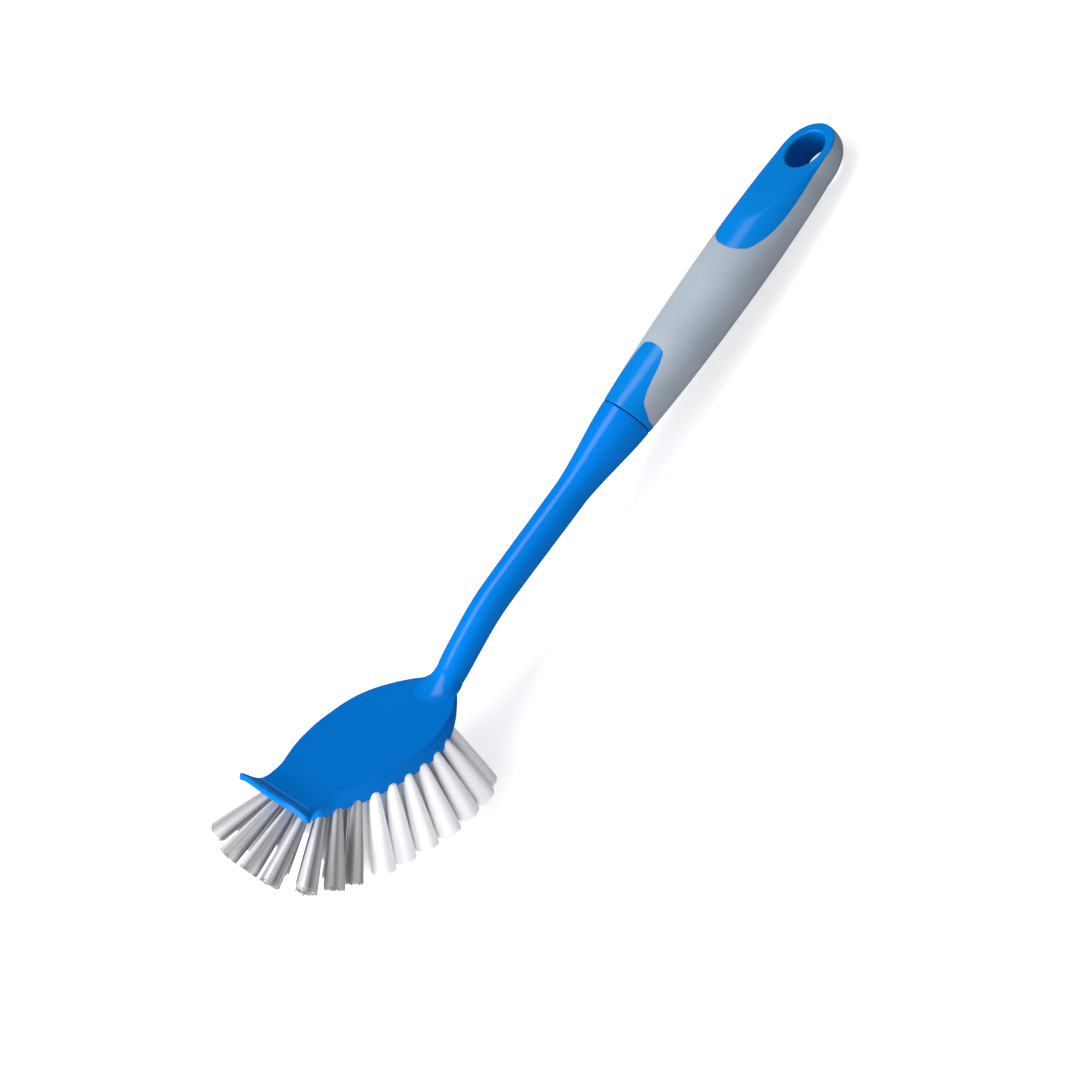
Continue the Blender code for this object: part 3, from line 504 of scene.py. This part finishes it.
def skinGrid(inset, front, rows, sides):
    # Elliptical rings along the handle, evenly spaced round the end. On the outer skin the top is
    # held down to the pad's plane by a soft minimum, z - k log(1 + exp((z - plane) / k)), with
    # the exponent kept within reach of a float, and the front edge is a quarter circle.
    length, chamfer = handle["length"], handle["chamfer"]
    start = 1 - handle["endRound"] / length
    turn = np.linspace(0, math.pi / 2 - handle["endStop"], rows // 3)
    share = np.concatenate([np.linspace(0, start, rows - rows // 3)[:-1],
                            start + (1 - start) * np.sin(turn) ** (2 / handle["planPower"])])
    across, up = handleAxes(share)
    across, up = [np.maximum(half - inset, handle["leastRadius"]) for half in (across, up)]
    x = share * (length - inset)
    if inset:
        x[0] = -front
    else:
        arc = np.linspace(0, math.pi / 2, handle["edgeSteps"])
        kept = x > front + chamfer
        less = chamfer * (1 - np.sin(arc))
        x = np.concatenate([front + chamfer * (1 - np.cos(arc)), x[kept]])
        across = np.concatenate([across[0] - less, across[kept]])
        up = np.concatenate([up[0] - less, up[kept]])
    angle = np.linspace(0, 2 * math.pi, sides, endpoint=False)[None, :]
    y = across[:, None] * np.cos(angle)
    z = up[:, None] * np.sin(angle)
    x = x[:, None] + 0 * y
    if not inset:
        over = np.minimum((z - padHeight(x)) / handle["crease"], handle["creaseMost"])
        z = z - handle["crease"] * np.log1p(np.exp(over))
    return np.stack([x, y, z], -1)


def gripZone(margin):
    # Side view of what the grip covers: a smooth line down the tongue, over the top between the
    # tongue and the pad, and along below the pad's edge to the end
    length, half = handle["length"], handle["thickness"] / 2
    far = length + handle["overrun"]

    def smoothed(pairs, shift):
        line = np.array(pairs) * (length, half) + (shift, margin)
        run = np.concatenate([[0], np.cumsum(np.linalg.norm(np.diff(line, axis=0), axis=1))])
        at = np.linspace(0, run[-1], handle["lineSteps"])
        return np.stack([smoothCurve(list(zip(run, line[:, k])), at) for k in (0, 1)], 1)

    tongue, pad = handle["tongue"], handle["pad"]
    rim = np.linspace(length * pad[-1][0] + margin, far, handle["rimSteps"])[1:]
    low = np.minimum(half * pad[-1][1] + margin, padHeight(rim) - handle["rimBand"] + margin)
    ends = [np.array([tongue[k]]) * (length, half) + (-margin, margin) for k in (0, -1)]
    return np.concatenate([ends[0], smoothed(tongue[1:-1], -margin), ends[1],
                           np.array([pad[0]]) * (length, half) + (margin, margin),
                           smoothed(pad[1:], margin), np.stack([rim, low], 1),
                           [(far, -2 * half), (length * tongue[0][0] - margin, -2 * half)]])


def prism(name, outline, halfWidth):
    grid = np.stack([np.stack([outline[:, 0], 0 * outline[:, 0] + y, outline[:, 1]], 1)
                     for y in (halfWidth, -halfWidth)])
    return makePiece(name, grid, closedTube(grid), None, weld=0)


def ovalCutter(name, margin, flare):
    # Upright oval tube round the hang hole; with a flare its top opens by a quarter circle that
    # follows the pad's plane, and it narrows downwards by the draft
    sides = handle["holeSides"]
    turn = 2 * math.pi * (np.arange(sides) + 0.5) / sides
    rise = np.linspace(0, math.pi / 2, handle["holeSteps"]) if flare else np.array([0.0])
    drops = np.concatenate([[-2 * handle["thickness"]], flare * (np.sin(rise) - 1),
                            [handle["thickness"]]])
    draft = handle["holeDraft"] if flare else 0.0
    opens = np.concatenate([[-draft], flare * (1 - np.cos(rise)), [flare]])
    middle = handle["length"] - handle["holeFromEnd"]
    rings = []
    for drop, opened in zip(drops, opens):
        x = middle + (handle["holeLength"] / 2 + margin + opened) * np.cos(turn)
        y = (handle["holeWidth"] / 2 + margin + opened) * np.sin(turn)
        rings.append(np.stack([x, y, padHeight(x) + drop], 1))
    grid = np.stack(rings)
    return makePiece(name, grid, closedTube(grid), None, weld=0)


def carve(piece, steps):
    # Exact Booleans one after another; the result replaces the piece's mesh
    for operation, other in steps:
        step = piece.modifiers.new("cut", "BOOLEAN")
        step.operation, step.solver, step.object = operation, "EXACT", other
    bpy.context.view_layer.update()
    graph = bpy.context.evaluated_depsgraph_get()
    mesh = bpy.data.meshes.new_from_object(piece.evaluated_get(graph))
    piece.modifiers.clear()
    piece.data = mesh


skin = skinGrid(0.0, handle["gap"], *handle["skinRings"])
waistSkin, hollowSkin = [skinGrid(inset, handle["overrun"], *handle["insideRings"])
                         for inset in (handle["gripThickness"],
                                       handle["gripThickness"] - handle["gripGap"])]
core = makePiece("handleCore", skin, closedTube(skin), None, weld=0)
grip = makePiece("softGrip", skin, closedTube(skin), None, weld=0)
waist = makePiece("waist", waistSkin, closedTube(waistSkin), None, weld=0)
hollow = makePiece("hollow", hollowSkin, closedTube(hollowSkin), None, weld=0)
bed, zone = [prism(name, gripZone(margin), handle["width"])
             for name, margin in (("bed", 0.0), ("zone", -handle["gripGap"]))]
hole = ovalCutter("hole", 0.0, handle["holeRound"])
eyelet = ovalCutter("eyelet", handle["eyelet"], 0.0)
eyeletRoom = ovalCutter("eyeletRoom", handle["eyelet"] + handle["gripGap"], 0.0)
turn = np.linspace(0, 2 * math.pi, handle["socketSides"], endpoint=False)
socketGrid = np.stack([np.stack([0 * turn + x, handle["socketDiameter"] / 2 * np.cos(turn),
                                 handle["socketDiameter"] / 2 * np.sin(turn)], 1)
                       for x in (-handle["overrun"], handle["socketDepth"])])
socket = makePiece("socket", socketGrid, closedTube(socketGrid), None, weld=0)
carve(bed, [("DIFFERENCE", waist), ("DIFFERENCE", eyelet)])
carve(core, [("DIFFERENCE", bed), ("DIFFERENCE", hole), ("DIFFERENCE", socket)])
carve(grip, [("INTERSECT", zone), ("DIFFERENCE", hollow), ("DIFFERENCE", eyeletRoom)])
for cutter in (waist, hollow, bed, zone, hole, eyelet, eyeletRoom, socket):
    bpy.data.objects.remove(cutter)
for piece, material, node, slotName in ((core, corePlastic, "handle_core", "handle_plastic"),
                                        (grip, gripRubber, "soft_grip", "grip_rubber")):
    count = len(piece.data.vertices)
    places = np.empty(count * 3)
    piece.data.vertices.foreach_get("co", places)
    piece.data.vertices.foreach_set("co", handleToRow(places.reshape(-1, 3)).ravel())
    piece.data.materials.clear()
    piece.data.materials.append(material)
    piece.data.polygons.foreach_set("material_index", np.zeros(len(piece.data.polygons), int))
    piece.data.shade_smooth()
    piece.data.set_sharp_from_angle(angle=math.radians(sharpAngle))
    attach(piece, "root")
    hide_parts(node)
print("handle made,", len(core.data.polygons), "and", len(grip.data.polygons), "faces")


# Bristles

tuft = {"diameter": 0.0031, "depth": 0.0028, "length": 0.0250, "flare": {"white": 2.8, "grey": 2.5},
        "bulge": 0.58, "filaments": 90, "filamentDiameter": 0.00036, "sides": 5, "segments": 5,
        "seed": 7, "firstTurn": 6.28, "goldenAngle": 2.399963, "sharpAngle": 60,
        "clumps": 4, "clumpShare": 0.6, "clumpPhase": 5,
        "wander": 0.00012, "wanderPower": 1.5, "uneven": 0.0002,
        "rootDome": 0.0011, "rootTaper": 0.55,
        "bodyShare": {"white": 0.97, "grey": 0.90}, "bodySides": 28, "bodyDome": 0.0016,
        "bodyBelow": 0.0008, "domeStart": 0.1, "domeSteps": 7, "bodySteps": 14,
        "bodyTone": 0.3, "bodyClump": 0.25, "bodyUneven": 0.3,
        "innerExtra": 0.0018, "innerFrom": (0.25, 0.45), "inset": 0.0005, "rowStep": 0.0065,
        "counts": (23, 17, 6), "greys": (9, 5, 1), "rowSteps": 120,
        "rearPairIn": 0.8, "outerRear": 0.0122, "innerRear": 0.0167, "innerFront": 0.0088,
        "middleEnds": (0.28, 0.675),
        "lean": [(0.0, 0.08), (0.10, 0.13), (0.166, 0.25), (0.21, 0.255), (0.366, 0.02),
                 (0.565, -0.235), (0.64, -0.33), (0.70, -0.54), (0.765, -0.78), (0.845, -1.32),
                 (0.905, -1.80), (1.0, -1.85)],
        "splay": [(0.0, 0.58), (0.145, 0.57), (0.20, 0.33), (0.366, 0.30), (0.627, 0.31),
                  (0.765, 0.67), (0.845, 1.84), (0.905, 1.23), (1.0, 1.2)],
        "reach": [(0.0, 1.0), (0.145, 0.998), (0.20, 0.985), (0.30, 0.97), (0.45, 0.98),
                  (0.60, 0.995), (0.685, 1.0), (0.765, 0.99), (0.845, 0.98), (0.905, 0.95),
                  (1.0, 0.95)]}


def rowLine(inset, rear, front):
    # Plan of a row: the body's outline moved in by the inset, round the front and back
    start = (head["rear"] + rear) / head["length"]
    end = noseShares()[1] - front / head["length"]
    shares = np.linspace(start, end, tuft["rowSteps"])
    side = np.stack([head["rear"] - head["length"] * shares, bodyHalfWidth(shares) - inset], 1)
    side = side[side[:, 1] > 0]
    tip = [[head["rear"] - head["length"] * end, 0.0]]
    return np.concatenate([side, tip, side[::-1] * (1, -1)])


def spreadAlong(line, count):
    run = np.concatenate([[0], np.cumsum(np.linalg.norm(np.diff(line, axis=0), axis=1))])
    marks = np.linspace(0, run[-1], count)
    return np.stack([np.interp(marks, run, line[:, k]) for k in (0, 1)], 1)


def tuftPlaces():
    # Root of every tuft in plan with its colour and extra length, in the CAD nodes' own order:
    # outer row, inner row, middle row. The outer row's rear pair stands further in.
    outer, inner, middle = tuft["counts"]
    ends = head["rear"] - head["length"] * np.array(tuft["middleEnds"])
    rows = [spreadAlong(rowLine(tuft["inset"], tuft["outerRear"], tuft["inset"]), outer),
            spreadAlong(rowLine(tuft["inset"] + tuft["rowStep"], tuft["innerRear"],
                                tuft["innerFront"]), inner),
            np.stack([np.linspace(*ends, middle), np.zeros(middle)], 1)]
    rows[0][[0, -1], 1] *= tuft["rearPairIn"]
    found = []
    for row, (places, greys) in enumerate(zip(rows, tuft["greys"])):
        foremost = set(np.argsort(places[:, 0], kind="stable")[:greys].tolist())
        extra = tuft["innerExtra"] if row else 0.0
        found += [(place, "grey" if k in foremost else "white", extra)
                  for k, place in enumerate(places)]
    return found


def tuftDirection(place):
    share = (head["rear"] - place[0]) / head["length"]
    lean = smoothCurve(tuft["lean"], share)
    splay = smoothCurve(tuft["splay"], share) * place[1] / (head["width"] / 2)
    direction = np.array([lean, splay, -1.0])
    return direction / np.linalg.norm(direction), share


def opening(t, colour):
    # How far the bundle has opened at the share t of its length: 1 at the root, the flare at the
    # tip, and 4 t (1 - t) of a bulge between them
    return 1 + (tuft["flare"][colour] - 1) * (t * (1 - t) * 4 * (tuft["bulge"] - 0.5) + t)


def tuftMesh(place, colour, extra, chance):
    # Filament roots fill a disc in sunflower order; each filament runs from its root along the
    # tuft's direction while its distance from the tuft's middle grows to the flare, so the
    # bundle opens like a brush. Tubes are rings of few sides carried along those lines. The
    # packed filaments inside are one smooth body with a domed root, a little below the tips.
    # The tones run in a few clumps round the tuft, by a sine of the angle, with chance added.
    direction, share = tuftDirection(place)
    side = np.cross(direction, (1.0, 0.0, 0.0))
    side /= np.linalg.norm(side)
    other = np.cross(direction, side)
    mouth = np.array([place[0], place[1], -head["wall"]])
    count, sides, segments = tuft["filaments"], tuft["sides"], tuft["segments"]
    order = np.arange(count)
    reach = np.sqrt((order + 0.5) / count)
    angle = order * tuft["goldenAngle"] + chance.uniform(0, tuft["firstTurn"])
    radius = tuft["diameter"] / 2 - tuft["filamentDiameter"] / 2
    spot = np.stack([reach * np.cos(angle), reach * np.sin(angle)], 1)
    t = np.linspace(0, 1, segments + 1)[None, :, None]
    whole = tuft["length"] * float(smoothCurve(tuft["reach"], share))
    whole += extra * float(np.interp(share, tuft["innerFrom"], (0, 1)))
    length = whole + chance.uniform(-1, 1, count) * tuft["uneven"]
    # Where the wall rises at the head's rear the tuft starts higher
    lift = -head["wall"] * max(0.0, float(smoothCurve(head["tail"], share))) / direction[2]
    foot = -tuft["depth"] - lift
    start = foot + tuft["rootDome"] * reach ** 3
    along = start[:, None, None] + (length - start)[:, None, None] * t
    wander = chance.normal(0, tuft["wander"], (count, 1, 2)) * t ** tuft["wanderPower"]
    flat = spot[:, None, :] * radius * opening(t, colour) + wander
    axis = mouth + direction * along + side * flat[..., :1] + other * flat[..., 1:]
    turn = np.linspace(0, 2 * math.pi, sides, endpoint=False)
    ring = side * np.cos(turn)[:, None] + other * np.sin(turn)[:, None]
    ring = ring * tuft["filamentDiameter"] / 2
    taper = np.ones(segments + 1)
    taper[0] = tuft["rootTaper"]
    points = axis[:, :, None, :] + ring[None, None] * taper[None, :, None, None]
    tube = closedTube(points[0])
    faces = [[v + k * (segments + 1) * sides for v in f] for k in range(count) for f in tube]
    phase = angle[0] * tuft["clumpPhase"]
    clump = 0.5 + 0.5 * np.sin(tuft["clumps"] * angle + phase)
    mix = tuft["clumpShare"]
    tone = mix * clump + (1 - mix) * chance.uniform(0, 1, count)
    tone = np.repeat(tone, (segments + 1) * sides)

    steps, sidesBody = tuft["bodySteps"], tuft["bodySides"]
    quarter = np.linspace(tuft["domeStart"], math.pi / 2, tuft["domeSteps"])
    dome = tuft["bodyDome"] * (1 - np.cos(quarter))
    straight = np.linspace(foot + tuft["bodyDome"], whole - tuft["bodyBelow"], steps)[1:]
    run = np.concatenate([foot + dome, straight])
    full = np.concatenate([np.sin(quarter), np.ones(steps - 1)])
    part = (run - foot) / (whole - foot)
    wide = tuft["bodyShare"][colour] * tuft["diameter"] / 2 * opening(part, colour) * full
    turn = np.linspace(0, 2 * math.pi, sidesBody, endpoint=False)
    around = side * np.cos(turn)[:, None] + other * np.sin(turn)[:, None]
    inner = mouth + direction * run[:, None, None] + around[None] * wide[:, None, None]
    faces += [[v + points.size // 3 for v in f] for f in closedTube(inner)]
    bodyTone = (tuft["bodyTone"] + tuft["bodyClump"] * np.sin(tuft["clumps"] * turn + phase)
                + chance.uniform(0, tuft["bodyUneven"], sidesBody))
    tone = np.concatenate([tone, np.tile(bodyTone, len(run))])
    return np.concatenate([points.reshape(-1, 3), inner.reshape(-1, 3)]), faces, tone


numbers = {"white": 0, "grey": 0}
chance = np.random.default_rng(tuft["seed"])
for place, colour, extra in tuftPlaces():
    numbers[colour] += 1
    points, faces, tone = tuftMesh(place, colour, extra, chance)
    material = whiteNylon if colour == "white" else greyNylon
    piece = makePiece(f"{colour}Tuft{numbers[colour]:02d}", headToRow(points), faces, material,
                      tuft["sharpAngle"], weld=0)
    piece.data.attributes.new("tone", "FLOAT", "POINT").data.foreach_set("value", tone)
    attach(piece, "root")
    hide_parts(f"{colour}_tuft_{numbers[colour]:02d}")
print("tufts made,", numbers)


# Floor, light and camera

def stageMaterial(name, colour, mirrored, glow):
    # Pale diffuse surface with a glow that only the camera sees, and darker where it is mirrored
    material, tree, shader = startMaterial(name, {"Roughness": 0.9, "Specular IOR Level": 0.1})
    path = addNode(tree, "ShaderNodeLightPath")
    tint = twoTone(tree, path, "Is Glossy Ray", (colour, mirrored))
    tree.links.new(tint.outputs["Color"], shader.inputs["Base Color"])
    scaled = addNode(tree, "ShaderNodeMath", {"operation": "MULTIPLY"})
    tree.links.new(path.outputs["Is Camera Ray"], scaled.inputs[0])
    scaled.inputs[1].default_value = glow
    shader.inputs["Emission Color"].default_value = (1, 1, 1, 1)
    tree.links.new(scaled.outputs[0], shader.inputs["Emission Strength"])
    return material


stage = {"half": 3.0, "radius": 2.9, "heights": (-0.05, 1.3), "sides": 64,
         "floor": ("#B2B2B6", "#303034", 0.68), "backdrop": ("#8C8C90", "#303034", 0.95)}
floorPoints = stage["half"] * np.array([(-1, -1, 0), (1, -1, 0), (1, 1, 0), (-1, 1, 0)], float)
floor = makePiece("floor", floorPoints, [[0, 1, 2, 3]],
                  stageMaterial("studioFloor", *stage["floor"]))
turn = np.linspace(0, 2 * math.pi, stage["sides"], endpoint=False)
wall = np.stack([np.stack([stage["radius"] * np.cos(turn), stage["radius"] * np.sin(turn),
                           0 * turn + z], 1) for z in stage["heights"]])
backdrop = makePiece("backdrop", wall, gridFaces(2, stage["sides"]),
                     stageMaterial("studioBackdrop", *stage["backdrop"]))

# Even room light that reflections hardly see
room = {"seen": 0.44, "mirrored": 0.02}
world = bpy.data.worlds.new("studio")
bpy.context.scene.world = world
world.use_nodes = True
tree = world.node_tree
path = addNode(tree, "ShaderNodeLightPath")
level = addNode(tree, "ShaderNodeMapRange", {"To Min": room["seen"], "To Max": room["mirrored"]})
tree.links.new(path.outputs["Is Glossy Ray"], level.inputs["Value"])
tree.links.new(level.outputs["Result"], tree.nodes["Background"].inputs["Strength"])
tree.nodes["Background"].inputs["Color"].default_value = (1, 1, 1, 1)

# Softboxes: place, aim, width, height, power in watts, and whether reflections see them
lamps = {"keyLeft": ((-1.10, 0.25, 0.95), (0, 0, 0.03), 0.9, 0.9, 24.5, False),
         "stripAbove": ((-0.02, 0.36, 1.25), (0, 0, 0.03), 1.1, 0.6, 11.0, True),
         "stripLeft": ((-1.15, 0.49, 0.31), (-0.04, 0, 0.05), 0.3, 0.5, 1.4, True),
         "stripFar": ((1.50, 1.30, 0.13), (-0.12, 0, 0.03), 1.2, 0.13, 1.6, True),
         "fillLow": ((-0.90, -1.00, 0.30), (0, 0, 0.03), 0.9, 0.5, 9.6, False)}
for name, (place, aim, width, height, power, mirrored) in lamps.items():
    data = bpy.data.lights.new(name, "AREA")
    data.shape = "RECTANGLE"
    data.size, data.size_y, data.energy = width, height, power
    lamp = bpy.data.objects.new(name, data)
    bpy.context.scene.collection.objects.link(lamp)
    lamp.visible_glossy, lamp.visible_camera = mirrored, False
    facing = (Vector(place) - Vector(aim)).to_track_quat("Z", "Y").to_matrix().to_4x4()
    lamp.matrix_world = Matrix.Translation(place) @ facing

# Camera: fitted to the brush's outline, in the head's frame; rows are right, down and forward
sight = {"axes": [(0.73586, -0.65758, -0.16157), (-0.50331, -0.37153, -0.78016),
                  (0.45299, 0.6554, -0.60436)],
         "place": (-0.60871, -0.94644, 0.900732), "lens": 149.312, "sensor": 36.0,
         "clip": (0.01, 20.0)}
cameraData = bpy.data.cameras.new("camera")
cameraData.lens = sight["lens"]
cameraData.sensor_width = sight["sensor"]
camera = bpy.data.objects.new("camera", cameraData)
bpy.context.scene.collection.objects.link(camera)
right, down, forward = turned(np.array(sight["axes"]), restTurn)
spot = headToRow(np.array(sight["place"]))
camera.matrix_world = Matrix([[right[k], -down[k], -forward[k], spot[k]] for k in range(3)]
                             + [[0, 0, 0, 1]])
cameraData.clip_start, cameraData.clip_end = sight["clip"]
bpy.context.scene.camera = camera

bpy.context.scene.view_settings.view_transform = "Standard"
bpy.context.view_layer.update()
print("stage set")
